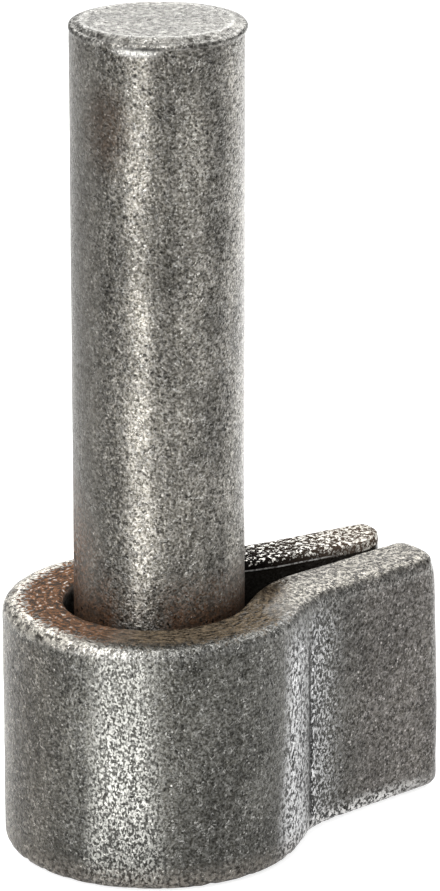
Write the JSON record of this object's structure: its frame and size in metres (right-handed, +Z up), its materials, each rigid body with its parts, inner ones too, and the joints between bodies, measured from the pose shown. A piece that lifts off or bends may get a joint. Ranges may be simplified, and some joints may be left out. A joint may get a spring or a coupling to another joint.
{
  "type": "weld-on pintle",
  "caption": "Bare steel weld-on pintle: a round upright pin in an eye wrapped from one flat strip, whose two ends form a double tail for welding.",
  "frame": {"origin": "on the pin's axis, level with the eye's top face, where a hinge's eye comes to rest", "axes": "+Z up along the pin, +X along the front layer of the tail, away from the eye"},
  "size_m": [0.0354, 0.0227, 0.063],
  "materials": {
    "pin_steel": "bare, grainy, with light rust at the foot",
    "strip_steel": "bare hot-rolled, grainy, with brown stains",
    "weld_steel": "as welded"
  },
  "bodies": {
    "root": {"pin": "pin_steel", "strip": "strip_steel", "weld": "weld_steel"}
  },
  "joints": []
}
